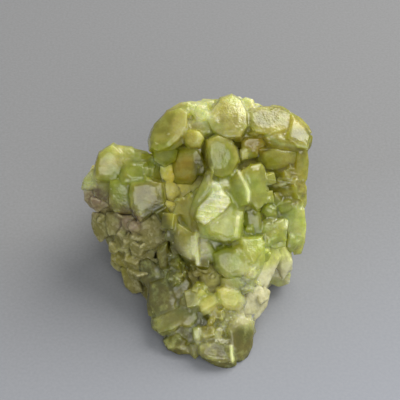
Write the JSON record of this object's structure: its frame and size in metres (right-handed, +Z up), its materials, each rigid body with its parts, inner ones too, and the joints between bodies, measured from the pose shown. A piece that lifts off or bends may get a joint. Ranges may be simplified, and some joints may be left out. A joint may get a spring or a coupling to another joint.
{
  "type": "brazilianite crystal cluster",
  "caption": "Cluster of stubby yellow-green prismatic crystals crowding the sloping face of a pale granular matrix, resting on a flat broken base.",
  "frame": {"origin": "on the flat broken base, under the middle of the matrix", "axes": "+Z up from the base, -Y towards the viewer of the display face, +X to the viewer's right"},
  "size_m": [0.061, 0.0708, 0.0481],
  "materials": {
    "matrix": "pale grey-olive granular matrix, dull",
    "crown_crystals": "honey-olive crystal, translucent, vitreous",
    "recess_crystals": "honey-brown crystal, translucent, vitreous",
    "centre_crystals": "yellow-green crystal, translucent, vitreous",
    "shoulder_crystals": "yellow-green crystal, translucent, vitreous",
    "foot_crystals": "pale olive crystal, cloudy, vitreous",
    "knob_crystal": "pale grey-green crystal, cloudy, vitreous",
    "right_flank_crystals": "yellow-green crystal, translucent, vitreous",
    "back_crystals": "yellow-green crystal, translucent, vitreous",
    "left_back_crystals": "yellow-green crystal, translucent, vitreous"
  },
  "bodies": {
    "root": {"matrix": "matrix", "crown_crystals": "crown_crystals", "recess_crystals": "recess_crystals", "centre_crystals": "centre_crystals", "shoulder_crystals": "shoulder_crystals", "foot_crystals": "foot_crystals", "knob_crystal": "knob_crystal", "right_flank_crystals": "right_flank_crystals", "back_crystals": "back_crystals", "left_back_crystals": "left_back_crystals"}
  },
  "joints": []
}
